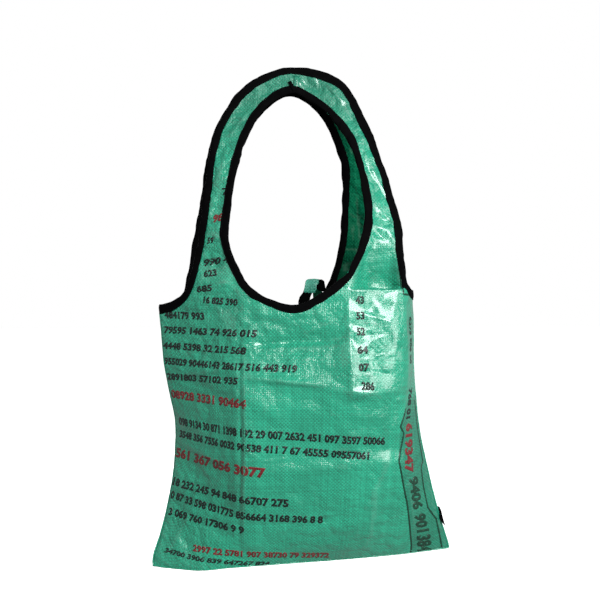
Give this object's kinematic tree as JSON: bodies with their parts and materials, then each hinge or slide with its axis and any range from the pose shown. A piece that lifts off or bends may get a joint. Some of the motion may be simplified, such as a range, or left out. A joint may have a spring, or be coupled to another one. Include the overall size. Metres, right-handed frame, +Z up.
{
  "type": "rice sack shopping bag",
  "caption": "Open hanging shopping bag sewn from woven rice sack cloth, with arch handles cut in one with front and back, dark tape-bound edges, a small loop and a side label.",
  "frame": {"origin": "the hanging place, on the underside of the crown of the two arch handles, midway between them", "axes": "+Z up, front of the bag towards -Y, width along X"},
  "size_m": [0.4132, 0.1829, 0.6782],
  "materials": {
    "sack_cloth": "glossy laminated woven polypropylene, green",
    "binding_tape": "matt black bias tape",
    "loop_cloth": "folded woven sack cloth, green",
    "label": "plain woven label, matt black"
  },
  "bodies": {
    "root": {"front_panel": "sack_cloth", "front_outer_binding": "binding_tape", "front_mouth_binding": "binding_tape", "back_panel": "sack_cloth", "back_outer_binding": "binding_tape", "back_mouth_binding": "binding_tape", "closing_loop": "loop_cloth", "side_label": "label"}
  },
  "joints": []
}
